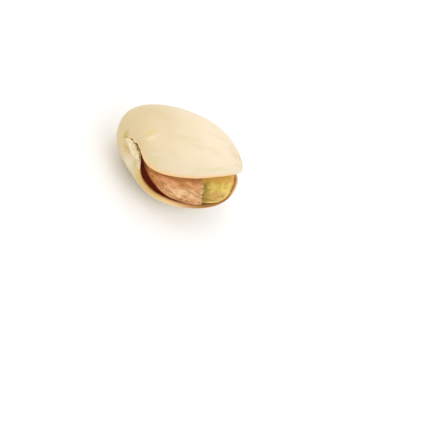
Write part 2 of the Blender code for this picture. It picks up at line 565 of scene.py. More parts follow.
    def inner_wall(self, made: Finish, from_stem: Socket, share: Socket) -> Socket:
        """Colour of the inner wall: reddish near the rim, painted shade in dark red further in, bare at the
        tip, brown behind the crack.

        Args:
            made: Material to add to.
            from_stem: Share of the length from the stem end.
            share: Share of the way from the far seam to the open one.

        Returns:
            The colour's socket.
        """
        # Painted shade: the inner wall turns dark red away from the open rim.
        colour = made.coat(self.inside, self.deep, share, low=0.985, high=0.94)
        colour = made.coat(colour, self.bare, from_stem, low=0.55, high=0.72)
        at_stem = made.step(from_stem, low=0.26, high=0.20)
        return made.coat(colour, self.scar_brown, share, low=0.975, high=0.995, share=at_stem)

    def rim(self, made: Finish, from_stem: Socket, lower: Socket) -> Socket:
        """Colour of the rim faces, with painted shadow over the lower half's rim towards its tip, which
        leaves a lighter outer edge at the tip.

        Args:
            made: Material to add to.
            from_stem: Share of the length from the stem end.
            lower: 1 on the lower half.

        Returns:
            The colour's socket.
        """
        colour = made.coat(self.peach, self.straw, from_stem, low=0.57, high=0.46, share=lower)
        # Painted shadow: the lower half's rim turns dark brown towards its tip, except on its outer edge
        # there.
        rim_shadow = made.times(lower, 0.95)
        colour = made.coat(colour, self.rim_shadow, from_stem, low=0.54, high=0.72, share=rim_shadow)
        outer_edge = made.times(made.step(made.mark(Mark.INNER), low=0.55, high=0.20), lower, 0.85)
        return made.coat(colour, self.peach, from_stem, low=0.86, high=0.92, share=outer_edge)

    def crack(self, made: Finish, from_stem: Socket, share: Socket, wander: Socket) -> Socket:
        """How brown the edges of the crack are.

        Args:
            made: Material to add to.
            from_stem: Share of the length from the stem end.
            share: Share of the way from the far seam to the open one.
            wander: How far the stains are moved.

        Returns:
            The share's socket.
        """
        run = made.times(made.step(from_stem, low=0.12, high=0.19), made.step(from_stem, low=0.27, high=0.23))
        edge = made.step(made.plus(share, made.times(wander, 0.25)), low=0.986, high=0.998)
        return made.times(run, made.rest(made.mark(Mark.INNER)), edge, 0.85)

    def build(self) -> bpy.types.Material:
        """Makes the shell's material."""
        made = Finish("woody_shell", 0.5)
        from_stem, share, strip = (made.mark(mark) for mark in (Mark.FROM_STEM, Mark.SHARE, Mark.STRIP))
        lower = made.rest(made.mark(Mark.UPPER))
        streaks, fine, fibre = (made.grain(grain) for grain in (self.streaks, self.fine, self.fibre))
        wander = made.times(made.drift(self.wander), 0.06)
        colour = self.outside(made, streaks, fine, wander)
        colour = made.blend(made.mark(Mark.INNER), colour, self.inner_wall(made, from_stem, share))
        colour = made.blend(made.mark(Mark.RIM), colour, self.rim(made, from_stem, lower))
        torn_wood = made.coat(self.pale, self.fibrous, fibre, low=0.42, high=0.60)
        colour = made.blend(made.times(strip, 0.9), colour, torn_wood)
        colour = made.blend(self.crack(made, from_stem, share, wander), colour, self.crack_brown)
        scar = made.coat(self.scar_yellow, self.scar_brown, fibre, low=0.52, high=0.42)
        colour = made.blend(made.times(made.mark(Mark.SCAR), 0.85), colour, scar)
        rough = made.plus(made.plus(0.46, made.times(streaks, 0.18)), made.times(strip, 0.25))
        pits = made.step(made.grain(self.pits), low=0.36, high=0.28)
        normal = made.bumps(
            (streaks, 0.05, 0.6), (fine, 0.018, 0.8), (pits, 0.02, 0.6), (made.times(fibre, strip), 0.10, 0.9)
        )
        made.glow(specular=0.22, under=0.10, spread=(1.0, 0.6, 0.3), depth=0.4)
        return made.close(colour, rough, normal)


@dataclass(frozen=True)
class FibreFinish:
    """Torn woody fibres and seed-skin flakes: one colour that wanders to another.

    Attributes:
        name: Material's name.
        first: First colour.
        second: Second colour.
        patches: Where one colour gives way to the other.
        fibre: Fine fibres.
    """

    name: str
    first: Triple
    second: Triple
    patches: Grain = Grain(8.0, stretch=(1.5, 1.5, 1.5))
    fibre: Grain = Grain(5.0, stretch=(3.0, 12.0, 12.0))

    def build(self) -> bpy.types.Material:
        """Makes the material."""
        made = Finish(self.name, 0.7)
        patches = made.grain(self.patches)
        colour = made.coat(self.first, self.second, patches, low=0.36, high=0.64)
        rough = made.plus(0.60, made.times(patches, 0.2))
        return made.close(colour, rough, made.bumps((made.grain(self.fibre), 0.02, 0.8)))


@dataclass(frozen=True)
class SkinFinish:
    """Papery seed skin: reddish tan with orange-brown patches, fine veins and rubbed cream streaks.

    Attributes:
        red_tan: Main colour.
        pink: Lighter, pinkish parts.
        rose: Redder parts.
        brown: Orange-brown patches, and the painted shade where the upper half of the shell hangs over the
            skin.
        dark: Painted shade on the skin deep in the shell, towards the stem end.
        cream: Rubbed streaks.
        patches: Pinkish patches.
        roses: Redder patches.
        browns: Brown patches.
        veins: Fine long veins.
        wander: Moves the stains.
        flaky: Rubbed and flaking places.
        spots: Stains and worn places, and painted shade along the crevice by the lower rim.
    """

    red_tan: Triple = (0.560, 0.250, 0.080)
    pink: Triple = (0.740, 0.370, 0.160)
    rose: Triple = (0.680, 0.240, 0.120)
    brown: Triple = (0.380, 0.140, 0.028)
    dark: Triple = (0.200, 0.060, 0.015)
    cream: Triple = (0.900, 0.650, 0.370)
    patches: Grain = Grain(5.0, scale=0.50, detail=4.0)
    roses: Grain = Grain(61.0, scale=0.9, rough=0.5)
    browns: Grain = Grain(23.0, scale=0.7, rough=0.5)
    veins: Grain = Grain(13.0, stretch=(0.28, 1.6, 1.6), detail=5.0, rough=0.65, bend=0.5)
    wander: Grain = Grain(47.0, scale=1.1)
    flaky: Grain = Grain(31.0, stretch=(0.9, 3.8, 3.8), detail=5.0, rough=0.75, bend=0.8)
    spots: tuple[Spot, ...] = (
        Spot(0.260, 2.750, 0.060, 0.350, (0.740, 0.290, 0.060), 0.85),
        Spot(0.360, 2.500, 0.040, 0.090, (0.620, 0.300, 0.080), 0.70),
        Spot(0.414, 2.450, 0.016, 0.120, (0.660, 0.160, 0.070), 0.90),
        Spot(0.270, 3.330, 0.080, 0.080, (0.900, 0.430, 0.240), 0.85),
        Spot(0.400, 3.080, 0.060, 0.050, (0.860, 0.460, 0.240), 0.60),
        Spot(0.416, 2.720, 0.022, 0.070, (0.740, 0.540, 0.240), 0.60),
        Spot(0.375, 2.950, 0.060, 0.120, (0.440, 0.160, 0.050), 0.95),
        Spot(0.580, 2.600, 0.025, 0.090, (0.880, 0.610, 0.340), 0.65),
        Spot(0.460, 2.560, 0.030, 0.080, (0.740, 0.420, 0.170), 0.60),
        Spot(0.530, 2.430, 0.050, 0.080, (0.420, 0.170, 0.040), 0.80),
        Spot(0.580, 2.370, 0.022, 0.150, (0.700, 0.340, 0.140), 0.80),
        # Painted shade along the crevice between the skin and the lower half's rim:
        Spot(0.540, 3.020, 0.080, 0.060, (0.420, 0.140, 0.020), 0.90),
    )

    def build(self) -> bpy.types.Material:
        """Makes the skin's material."""
        made = Finish("papery_skin", 0.55)
        from_stem = made.mark(Mark.FROM_STEM)
        veins, flaky = made.grain(self.veins), made.grain(self.flaky)
        wander = made.drift(self.wander)
        along = made.plus(from_stem, made.times(wander, 0.06))
        across = made.minus(made.mark(Mark.AROUND), made.times(wander, 0.40))
        colour = made.coat(self.red_tan, self.pink, made.grain(self.patches), low=0.38, high=0.62)
        colour = made.coat(colour, self.rose, made.grain(self.roses), low=0.52, high=0.66, share=0.55)
        colour = made.coat(colour, self.brown, made.grain(self.browns), low=0.50, high=0.64, share=0.6)
        colour = made.stain(colour, along, across, self.spots)
        rubbed = made.times(rubbed_streak(made, from_stem, across, 0.16, 0.53, 0.11),
                            made.step(flaky, low=0.34, high=0.58))
        colour = made.blend(rubbed, colour, self.cream)
        colour = made.coat(colour, self.brown, veins, low=0.53, high=0.38, share=0.75)
        colour = made.coat(colour, self.cream, flaky, low=0.56, high=0.66, share=0.50)
        colour = made.blend(made.times(made.mark(Mark.TORN), 0.6), colour, self.cream)
        # Painted shade where the upper half of the shell hangs over the skin.
        colour = made.shade(colour, along, across, self.brown, 0.90)
        # Painted shade: the skin darkens towards the stem end, deep in the shell.
        colour = made.coat(colour, self.dark, from_stem, low=0.22, high=0.04)
        rough = made.plus(0.46, made.times(flaky, 0.25))
        made.glow(specular=0.20, under=0.06, spread=(1.0, 0.4, 0.2), depth=0.3)
        return made.close(colour, rough, made.bumps((veins, 0.12, 0.8), (flaky, 0.06, 0.8)))


@dataclass(frozen=True)
class FleshFinish:
    """Dry nut flesh: yellow with green and ochre lumps and a faint waxy gloss.

    Attributes:
        yellow: Main colour.
        green: Greener parts.
        ochre: Lumps and edges, and the painted shade where the upper half of the shell hangs over the flesh.
        olive: Creases and the darker band beside the torn skin.
        patches: Green and yellow patches.
        grain: Fine creases.
        lumps: Ochre lumps.
        wander: Moves the stains.
        waxy: Finest relief.
        spots: Stains, and painted shade along the crevice by the lower rim.
    """

    yellow: Triple = (0.820, 0.590, 0.150)
    green: Triple = (0.600, 0.480, 0.090)
    ochre: Triple = (0.640, 0.330, 0.045)
    olive: Triple = (0.260, 0.165, 0.015)
    patches: Grain = Grain(2.0, scale=0.55, detail=4.0)
    grain: Grain = Grain(17.0, stretch=(0.6, 1.4, 1.4), detail=4.0, bend=0.4)
    lumps: Grain = Grain(37.0, scale=0.8)
    wander: Grain = Grain(47.0, scale=1.1)
    waxy: Grain = Grain(43.0, scale=6.0)
    spots: tuple[Spot, ...] = (
        Spot(0.630, 2.180, 0.030, 0.090, (0.640, 0.360, 0.050), 0.80),
        Spot(0.685, 2.550, 0.035, 0.110, (0.480, 0.300, 0.050), 0.80),
        Spot(0.660, 2.350, 0.030, 0.080, (0.440, 0.320, 0.050), 0.60),
        # Painted shade along the crevice between the flesh and the lower half's rim:
        Spot(0.710, 2.860, 0.110, 0.120, (0.360, 0.160, 0.015), 0.90),
        Spot(0.778, 2.560, 0.035, 0.170, (0.480, 0.260, 0.045), 0.80),
        Spot(0.825, 2.250, 0.030, 0.200, (0.700, 0.430, 0.140), 0.60),
        Spot(0.725, 2.640, 0.050, 0.090, (0.480, 0.290, 0.050), 0.75),
        Spot(0.800, 1.650, 0.060, 0.300, (0.680, 0.430, 0.070), 0.70),
        Spot(0.700, 2.020, 0.060, 0.070, (0.640, 0.400, 0.060), 0.70),
        Spot(0.735, 2.430, 0.045, 0.160, (0.520, 0.290, 0.070), 0.90),
        Spot(0.740, 2.600, 0.035, 0.090, (0.580, 0.330, 0.080), 0.70),
    )

    def torn_edge_band(self, made: Finish, along: Socket, across: Socket) -> Socket:
        """How far the flesh darkens to olive beside the torn edge of the skin, which swings round the seed.

        Args:
            made: Material to add to.
            along: Share of the length from the stem end.
            across: Angle round the seed.

        Returns:
            The share's socket.
        """
        middle, swing, swing_turn, width = 0.640, 0.062, math.radians(50.0), 0.026
        wave = made.math("SINE", made.plus(across, swing_turn))
        tear = made.minus(middle, made.times(wave, swing))
        return made.times(made.bell(made.minus(along, tear), 0.0, width), 0.90)

    def build(self) -> bpy.types.Material:
        """Makes the flesh's material."""
        made = Finish("nut_flesh", 0.5)
        grain = made.grain(self.grain)
        wander = made.drift(self.wander)
        along = made.plus(made.mark(Mark.FROM_STEM), made.times(wander, 0.06))
        across = made.minus(made.mark(Mark.AROUND), made.times(wander, 0.40))
        colour = made.coat(self.green, self.yellow, made.grain(self.patches), low=0.40, high=0.60)
        colour = made.coat(colour, self.ochre, made.grain(self.lumps), low=0.48, high=0.60, share=0.65)
        colour = made.stain(colour, along, across, self.spots)
        colour = made.blend(self.torn_edge_band(made, along, across), colour, self.olive)
        colour = made.coat(colour, self.olive, grain, low=0.46, high=0.32, share=0.5)
        # Painted shade where the upper half of the shell hangs over the flesh.
        colour = made.shade(colour, along, across, self.ochre, 0.75)
        rough = made.plus(0.38, made.times(grain, 0.25))
        made.glow(specular=0.25, under=0.12, spread=(1.0, 0.8, 0.3), depth=0.4)
        return made.close(colour, rough, made.bumps((grain, 0.10, 0.8), (made.grain(self.waxy), 0.02, 0.7)))


def rubbed_streak(made: Graph, from_stem: Socket, around: Socket, width: float, middle: float,
                  half_length: float) -> Socket:
    """Where the skin is rubbed pale: a slanting streak along the gape.

    Args:
        made: Tree to add to.
        from_stem: Share of the length from the stem end.
        around: Angle round the seed.
        width: Angle at which the streak has faded to a third.
        middle: Middle of the streak, as a share of the length.
        half_length: Share of the length at which it has faded to a third.

    Returns:
        The share's socket.
    """
    slant, angle = 1.1, 2.80
    slope = made.plus(around, made.times(made.minus(from_stem, 0.50), slant))
    return made.times(made.bell(slope, angle, width), made.bell(from_stem, middle, half_length))


class GeometryTree(Graph):
    """A geometry tree with named inputs, which ends in Realize Instances and Set Material."""

    def __init__(self, name: str) -> None:
        """Makes the tree with one geometry in and one out.

        Args:
            name: Tree's name.
        """
        super().__init__(bpy.data.node_groups.new(name, "GeometryNodeTree"))
        for way in ("INPUT", "OUTPUT"):
            self.tree.interface.new_socket("Geometry", in_out=way, socket_type="NodeSocketGeometry")
        self.source = self.node("NodeGroupInput")
        self.keys: dict[str, str] = {}
        self.values: dict[str, object] = {}

    def socket(self, name: str, value: object, kind: str = "NodeSocketFloat") -> Socket:
        """Adds a named input.

        Args:
            name: Input's name.
            value: Value it gets on the modifier.
            kind: Blender's type name of the socket.

        Returns:
            The input's socket inside the tree.
        """
        item = self.tree.interface.new_socket(name, in_out="INPUT", socket_type=kind)
        self.keys[name] = item.identifier
        self.values[name] = value
        return self.source.outputs[name]

    def place(self) -> Socket:
        """Position of each point, in metres."""
        return self.node("GeometryNodeInputPosition").outputs[0]

    def mark(self, mark: Mark) -> Socket:
        """The number that the mesh carries under a mark."""
        inputs = {"Name": mark.value}
        return self.node("GeometryNodeInputNamedAttribute", inputs, data_type="FLOAT").outputs["Attribute"]

    def ripple(self, repeats: object, detail: float, rough: float, seed: object) -> bpy.types.Node:
        """Adds a smooth noise over the mesh.

        Args:
            repeats: Repeats to the metre, or a tuple of those along each axis.
            detail: Number of finer layers.
            rough: Strength of the finer layers.
            seed: Chooses the pattern.

        Returns:
            The noise's node, whose first output is a number from 0 to 1 and whose second is a vector.
        """
        operation = "MULTIPLY" if isinstance(repeats, tuple) else "SCALE"
        place = self.vector(operation, self.place(), repeats)
        return self.noise(place, detail=detail, rough=rough, seed=seed)

    def swell(self, repeats: object, detail: float, rough: float, seed: object, level: float = 0.5) -> Socket:
        """Smooth noise less its middle level, for relief that rises and falls.

        Args:
            repeats: Repeats to the metre, or a tuple of those along each axis.
            detail: Number of finer layers.
            rough: Strength of the finer layers.
            seed: Chooses the pattern.
            level: What is taken off.

        Returns:
            The noise's socket.
        """
        return self.minus(self.ripple(repeats, detail, rough, seed).outputs[0], level)

    def store(self, geometry: Socket, mark: Mark, value: object) -> Socket:
        """Stores a number at each point of the mesh.

        Args:
            geometry: Geometry to store it on.
            mark: Name to store it under.
            value: The number.

        Returns:
            The geometry with the number.
        """
        inputs = {"Geometry": geometry, "Name": mark.value, "Value": value}
        made = self.node("GeometryNodeStoreNamedAttribute", inputs, data_type="FLOAT", domain="POINT")
        return made.outputs["Geometry"]

    def raise_surface(self, geometry: Socket, height: object, shift: object = None) -> Socket:
        """Moves each point along its normal and keeps it on or above the floor.

        Args:
            geometry: Geometry to move.
            height: How far, in metres.
            shift: Further move, in metres.

        Returns:
            The moved geometry.
        """
        offset = self.vector("SCALE", self.node("GeometryNodeInputNormal").outputs[0], height)
        if shift is not None:
            offset = self.vector("ADD", offset, shift)
        moved = self.node("GeometryNodeSetPosition", {"Geometry": geometry, "Offset": offset})
        level = self.vector("MAXIMUM", self.place(), (-1.0, -1.0, 0.0))
        inputs = {"Geometry": moved.outputs[0], "Position": level}
        return self.node("GeometryNodeSetPosition", inputs).outputs[0]

    def finish(self, geometry: Socket, material: bpy.types.Material) -> None:
        """Closes the tree.

        Args:
            geometry: Result.
            material: Material of the result.
        """
        rounded = self.node("GeometryNodeSetShadeSmooth", {"Geometry": geometry})
        real = self.node("GeometryNodeRealizeInstances", {"Geometry": rounded.outputs[0]})
        dressed = self.node("GeometryNodeSetMaterial", {"Geometry": real.outputs[0], "Material": material})
        self.node("NodeGroupOutput", {"Geometry": dressed.outputs[0]})

    def put_on(self, obj: bpy.types.Object) -> None:
        """Adds the tree to an object as a modifier and sets its named inputs.

        Args:
            obj: Object to add it to.
        """
        modifier = obj.modifiers.new(self.tree.name, "NODES")
        modifier.node_group = self.tree
        for name, key in self.keys.items():
            modifier[key] = self.values[name]


def add_object(name: str, data: bpy.types.ID) -> bpy.types.Object:
    """Makes an object and puts it in the scene.

    Args:
        name: Object's name.
        data: Its mesh, light or camera.

    Returns:
        The object.
    """
    obj = bpy.data.objects.new(name, data)
    bpy.context.scene.collection.objects.link(obj)
    return obj


def working_object(name: str, bm: bmesh.types.BMesh) -> bpy.types.Object:
    """Makes an object from a mesh under construction.

    Args:
        name: Object's name.
        bm: Mesh, which gets its faces outward and is freed.

    Returns:
        The object.
    """
    bm.normal_update()
    bmesh.ops.recalc_face_normals(bm, faces=bm.faces)
    mesh = bpy.data.meshes.new(name)
    bm.to_mesh(mesh)
    bm.free()
    return add_object(name, mesh)


def settle(obj: bpy.types.Object, name: str) -> bpy.types.Object:
    """Turns an object with its modifiers into a plain mesh object.

    Args:
        obj: Object with live modifiers, which is removed.
        name: Name of the plain object.

    Returns:
        The plain object, at the origin.
    """
    bpy.context.view_layer.update()
    graph = bpy.context.evaluated_depsgraph_get()
    shown = obj.evaluated_get(graph)
    mesh = bpy.data.meshes.new_from_object(shown, preserve_all_data_layers=True, depsgraph=graph)
    bpy.data.objects.remove(obj)
    mesh.name = name
    mesh.polygons.foreach_set("use_smooth", [True] * len(mesh.polygons))
    LOG.info("%s: %d faces", name, len(mesh.polygons))
    return add_object(name, mesh)


def thicken(obj: bpy.types.Object, thickness: float, offset: float, inside: str = "") -> None:
    """Gives a surface a wall, thinner where its points have a smaller first weight.

    Args:
        obj: Object to thicken.
        thickness: Full thickness in millimetres.
        offset: 1 for a wall on the outside, -1 for one on the inside.
        inside: Name of the group that gets the new side's points, if any.
    """
    wall = obj.modifiers.new("wall", "SOLIDIFY")
    wall.thickness = thickness * MM
    wall.offset = offset
    wall.vertex_group = obj.vertex_groups.new(name="wall").name
    if inside:
        wall.shell_vertex_group = obj.vertex_groups.new(name=inside).name


def round_off(obj: bpy.types.Object, levels: int) -> None:
    """Adds a Subdivision Surface.

    Args:
        obj: Object to round.
        levels: Number of divisions.
    """
    modifier = obj.modifiers.new("round", "SUBSURF")
    modifier.levels = levels
    modifier.render_levels = levels


def ball_angles(point: Vector) -> tuple[float, float]:
    """Angle from the tip pole and angle round the long axis, in radians, of a point on the unit ball."""
    return math.acos(min(1.0, max(-1.0, point.z))), math.atan2(point.y, point.x)


def ball(around: int, rings: int) -> bmesh.types.BMesh:
    """Makes a ball of radius 1 with its points in the same order in every run.

    Blender's own ball gives them in another order each time, and the loose bits would follow it.

    Args:
        around: Number of steps round it.
        rings: Number of steps from the tip pole to the stem one.

    Returns:
        The ball.
    """
    bm = bmesh.new()
    turns = [2.0 * math.pi * step / around for step in range(around)]
    tip = bm.verts.new((0.0, 0.0, 1.0))
    rows = []
    for ring in range(1, rings):
        polar = math.pi * ring / rings
        girth, height = math.sin(polar), math.cos(polar)
        points = [(girth * math.cos(turn), girth * math.sin(turn), height) for turn in turns]
        rows.append([bm.verts.new(point) for point in points])
    stem = bm.verts.new((0.0, 0.0, -1.0))
    for step in range(around):
        follow = (step + 1) % around
        bm.faces.new((tip, rows[0][step], rows[0][follow]))
        for near, far in zip(rows, rows[1:]):
            bm.faces.new((near[step], far[step], far[follow], near[follow]))
        bm.faces.new((rows[-1][step], stem, rows[-1][follow]))
    return bm


@dataclass(frozen=True)
class Hump:
    """A smooth hump at one place along the shell.

    Attributes:
        height: Height at its middle.
        middle: Share of the length from the stem end.
        width: Share of the length at which it has fallen to a third.
    """

    height: float
    middle: float
    width: float

    def at(self, from_stem: float) -> float:
        """Height at a share of the length from the stem end."""
        return self.height * bell(from_stem - self.middle, self.width)


@dataclass(frozen=True)
class Half:
    """One half of the shell.

    Attributes:
        depth: From the seam plane to the outermost place, in millimetres.
        tip_power: Power of the sine that gives the girth on the tip side.
        far_tip_power_rise: How much greater that power is at the far seam.
        tip_extra: Extra length at the tip, in millimetres.
        turn: Turn about the far seam at the full gape, in degrees.
        gape_start: Where the gape starts, as a share of the length from the stem end.
        gape_full: Where the turn is full.
        tip_bend: How far the tip bends up, in degrees.
    """

    depth: float
    tip_power: float
    far_tip_power_rise: float
    tip_extra: float
    turn: float
    gape_start: float
    gape_full: float
    tip_bend: float


@dataclass
class Shell:
    """The woody shell: two halves joined at the stem end, gaping along one side. Lengths are in millimetres.

    Attributes:
        pose: How the nut lies.
        upper: The upper half.
        lower: The lower half.
        length: Length of the closed shell.
        half_width: From the long axis to either seam.
        stem_share: Share of the length on the stem side of the widest place.
        stem_power: Power of the sine that gives the girth on the stem side.
        far_stem_power_drop: How much smaller that power is at the far seam.
        wall: Thickness of the shell.
        rim_wall_share: Share of the thickness at the rims.
        around: Number of steps round the cage.
        rings: Number of steps along it.
        levels: Divisions of the cage.
        flare: How far the lower half's rim flares out.
        flare_run: Share of the length over which it comes to that.
        tip_bend_from: Where the tip starts to bend up, from the widest place.
        tip_bend_run: Length over which it bends.
        slit_half_gap: Half the width of the crack.
        seam_starts: Where each seam opens, as a share of the length from the stem end.
        seam_margin: Share of the length by which a point lies clear of such a start.
        seam_rise: Rise of the seam over the stem end, in degrees.
        seam_rise_start: Share of the length over which the rise begins.
        seam_dip: Dip of the lower half's rim, in degrees.
        seam_lap: Lap of the lower half's rim over the upper one, in degrees.
        keel_height: Height of the low keel along the far seam.
        keel_half_angle: Half its width, in degrees.
        lip: Lip beside the crack.
        lip_reach: Share of the way round over which it falls off.
        scar_depth: Depth of the stem scar.
        scar_radius: Its radius.
    """

    pose: RestPose
    upper: Half = Half(5.5, 1.31, 0.36, 0.0, -11.9, 0.228, 0.773, 9.1)
    lower: Half = Half(4.8, 0.90, 0.0, 1.05, 12.8, 0.206, 0.596, 0.0)
    length: float = 20.5
    half_width: float = 6.5
    stem_share: float = 0.40
    stem_power: float = 0.79
    far_stem_power_drop: float = 0.04
    wall: float = 1.0
    rim_wall_share: float = 0.65
    around: int = 24
    rings: int = 26
    levels: int = 3
    flare: float = 0.92
    flare_run: float = 0.376
    tip_bend_from: float = -2.5
    tip_bend_run: float = 11.0
    slit_half_gap: float = 0.10
    seam_starts: tuple[tuple[Seam, float], ...] = ((Seam.OPEN, 0.04), (Seam.FAR, 0.50))
    seam_margin: float = 0.01
    seam_rise: Hump = Hump(31.5, 0.133, 0.124)
    seam_rise_start: float = 0.06
    seam_dip: Hump = Hump(23.2, 0.374, 0.117)
    seam_lap: Hump = Hump(7.2, 0.229, 0.037)
    keel_height: float = 0.15
    keel_half_angle: float = 20.0
    lip: Hump = Hump(0.20, 0.14, 0.10)
    lip_reach: float = 0.12
    scar_depth: float = 0.35
    scar_radius: float = 1.1

    def girth_power(self, polar: float, around: float, half: Half) -> float:
        """How fast the shell narrows towards its ends.

        Args:
            polar: Angle from the tip pole.
            around: Angle round the long axis.
            half: Half that the point is on.

        Returns:
            The power of the sine that gives the girth.
        """
        if math.cos(polar) <= 0.0:
            return self.stem_power - self.far_stem_power_drop * max(0.0, math.cos(around))
        return half.tip_power + half.far_tip_power_rise * (1.0 + math.cos(around)) / 2.0

    def point(self, polar: float, share: float, upper: bool) -> Vector:
        """Outside of the shell.

        Args:
            polar: Angle from the tip pole.
            share: 0 at the far seam, 1 at the open one.
            upper: Whether the point is on the upper half.

        Returns:
            The point in the nut's axes, in millimetres.
        """
        half = self.upper if upper else self.lower
        from_stem = 1.0 - polar / math.pi
        rise = math.radians(self.seam_rise.at(from_stem)) * min(1.0, from_stem / self.seam_rise_start)
        around = share * (math.pi - rise)
        half_width, lip = self.half_width, 0.0
        if not upper:
            dip = math.radians(self.seam_dip.at(from_stem) - self.seam_lap.at(from_stem))
            around = -share * (math.pi + rise - dip)
            flared = smooth((from_stem - half.gape_start) / self.flare_run)
            half_width += self.flare * flared * max(0.0, -math.cos(around))
            lip = self.lip.at(from_stem) * bell(1.0 - share, self.lip_reach)
        reach = self.length * self.stem_share
        if math.cos(polar) > 0.0:
            reach = self.length * (1.0 - self.stem_share) + half.tip_extra
        girth = max(0.0, math.sin(polar)) ** self.girth_power(polar, around, half)
        depth = (self.upper if math.sin(around) > 0.0 else self.lower).depth
        keel = self.keel_height * bell(around, math.radians(self.keel_half_angle))
        x = reach * math.cos(polar)
        y = (half_width + keel + lip) * girth * math.cos(around)
        z = (depth + lip) * girth * math.sin(around)
        if x < 0.0:
            x += self.scar_depth * bell(math.hypot(y, z), self.scar_radius)
        if share > 1.0 - TINY and from_stem > dict(self.seam_starts)[Seam.OPEN] + self.seam_margin:
            z += self.slit_half_gap if upper else -self.slit_half_gap
        return self.gape(Vector((x, y, z)), girth, from_stem, half)

    def gape(self, point: Vector, girth: float, from_stem: float, half: Half) -> Vector:
        """Turns a point of a half away from the other one about the far seam, and bends the upper tip up.

        Args:
            point: Point of the closed shell.
            girth: Share of the full width there.
            from_stem: Share of the length from the stem end.
            half: Half that the point is on.

        Returns:
            The point of the gaping shell.
        """
        opened = smooth((from_stem - half.gape_start) / (half.gape_full - half.gape_start))
        turn = math.radians(half.turn) * opened
        pivot = self.half_width * girth
        x = point.x
        y = pivot + (point.y - pivot) * math.cos(turn) - point.z * math.sin(turn)
        z = (point.y - pivot) * math.sin(turn) + point.z * math.cos(turn)
        past = x - self.tip_bend_from
        if half.tip_bend and past > 0.0:
            bend = math.radians(half.tip_bend) * smooth(past / self.tip_bend_run)
            x = self.tip_bend_from + past * math.cos(bend) - z * math.sin(bend)
            z = past * math.sin(bend) + z * math.cos(bend)
        return Vector((x, y, z))

    def slit_edges(self, bm: bmesh.types.BMesh) -> list[bmesh.types.BMEdge]:
        """Edges of the ball along which the halves part.

        Args:
            bm: The ball.

        Returns:
            The edges of the open seam and of the far one.
        """
        starts = dict(self.seam_starts)
        found = []
        for edge in bm.edges:
            nearest_stem = 1.0 - max(ball_angles(vert.co)[0] for vert in edge.verts) / math.pi
            middle = (edge.verts[0].co + edge.verts[1].co) / 2.0
            if abs(middle.y) > TINY or abs(edge.verts[0].co.z - edge.verts[1].co.z) < TINY:
                continue
            seam = Seam.FAR if middle.x > 0.0 else Seam.OPEN
            if nearest_stem > starts[seam] - self.seam_margin:
                found.append(edge)
        return found

    def cage(self) -> bpy.types.Object:
        """Makes the coarse outer wall, with its marks and the share of the wall's thickness at each point."""
        tip_side = 0.9
        bm = ball(self.around, self.rings)
        bmesh.ops.split_edges(bm, edges=self.slit_edges(bm))
        kept = (Mark.FROM_STEM, Mark.SHARE, Mark.UPPER, Mark.TIP_EDGE)
        marks = {mark: bm.verts.layers.float.new(mark.value) for mark in kept}
        weights = bm.verts.layers.deform.verify()
        placed = {}
        for vert in bm.verts:
            polar, around = ball_angles(vert.co)
            side = sum(face.calc_center_median().y for face in vert.link_faces)
            upper = side > TINY if abs(vert.co.y) < TINY else vert.co.y > 0.0
            share = 0.5 if math.sin(polar) < TINY else abs(around) / math.pi
            placed[vert] = self.pose.place(self.point(polar, share, upper))
            vert[marks[Mark.FROM_STEM]] = 1.0 - polar / math.pi
            vert[marks[Mark.SHARE]] = share
            vert[marks[Mark.UPPER]] = float(upper)
            vert[marks[Mark.TIP_EDGE]] = float(vert.is_boundary and math.cos(polar) > tip_side)
            vert[weights][0] = self.rim_wall_share if vert.is_boundary else 1.0
            vert[weights][1] = 0.0
        for vert, point in placed.items():
            vert.co = point
        obj = working_object("shell_cage", bm)
        thicken(obj, self.wall, -1.0, Mark.INSIDE.value)
        round_off(obj, self.levels)
        return obj

    def strip(self, tree: GeometryTree, from_stem: Socket, share: Socket, ragged: Socket) -> Socket:
        """Marks the torn strip beside the crack, widest a sixth of the way from the stem end.

        Args:
            tree: Tree to add to.
            from_stem: Share of the length from the stem end.
            share: Share of the way from the far seam to the open one.
            ragged: Noise round 0 that frays the strip's edge.

        Returns:
            1 on the strip and 0 off it.
        """
        widest, edge, narrowing_before, narrowing_after, fray = 0.16, 0.880, 8.0, 7.0, 0.16
        off = tree.minus(from_stem, widest)
        before, after = tree.math("MINIMUM", off, 0.0), tree.math("MAXIMUM", off, 0.0)
        edge = tree.plus(edge, tree.times(before, before, narrowing_before))
        edge = tree.plus(edge, tree.times(after, after, narrowing_after))
        edge = tree.plus(edge, tree.times(ragged, fray))
        inside = tree.step(tree.minus(share, edge), low=-0.004, high=0.012)
        return tree.times(inside, tree.step(from_stem, low=0.030, high=0.055))

    def rims(self, tree: GeometryTree, from_stem: Socket, share: Socket) -> Socket:
        """Marks the faces where the halves part.

        Args:
            tree: Tree to add to.
            from_stem: Share of the length from the stem end.
            share: Share of the way from the far seam to the open one.

        Returns:
            1 on the rims and 0 off them.
        """
        opened = tree.times(tree.step(share, low=0.955, high=0.980),
                            tree.step(from_stem, low=0.20, high=0.27))
        far = tree.times(tree.step(share, low=0.045, high=0.020),
                         tree.step(from_stem, low=0.52, high=0.60))
        tip = tree.times(tree.step(tree.mark(Mark.TIP_EDGE), low=0.72, high=0.88),
                         tree.step(from_stem, low=0.955, high=0.965))
        return tree.math("MAXIMUM", tree.math("MAXIMUM", opened, far), tip)

    def scar(self, tree: GeometryTree, size: Socket, ragged: Socket) -> Socket:
        """Marks the stem scar.

        Args:
            tree: Tree to add to.
            size: Radius of the scar.
            ragged: Noise round 0 that frays its edge.

        Returns:
            1 on the scar and 0 off it.
        """
        middle = tuple(self.pose.place(self.point(math.pi * 0.962, share=0.89, upper=True)))
        off = tree.node("ShaderNodeVectorMath", {0: tree.place(), 1: middle}, operation="DISTANCE")
        off = tree.plus(tree.math("DIVIDE", off.outputs["Value"], size), tree.times(ragged, 0.9))
        return tree.step(off, low=1.05, high=0.55)

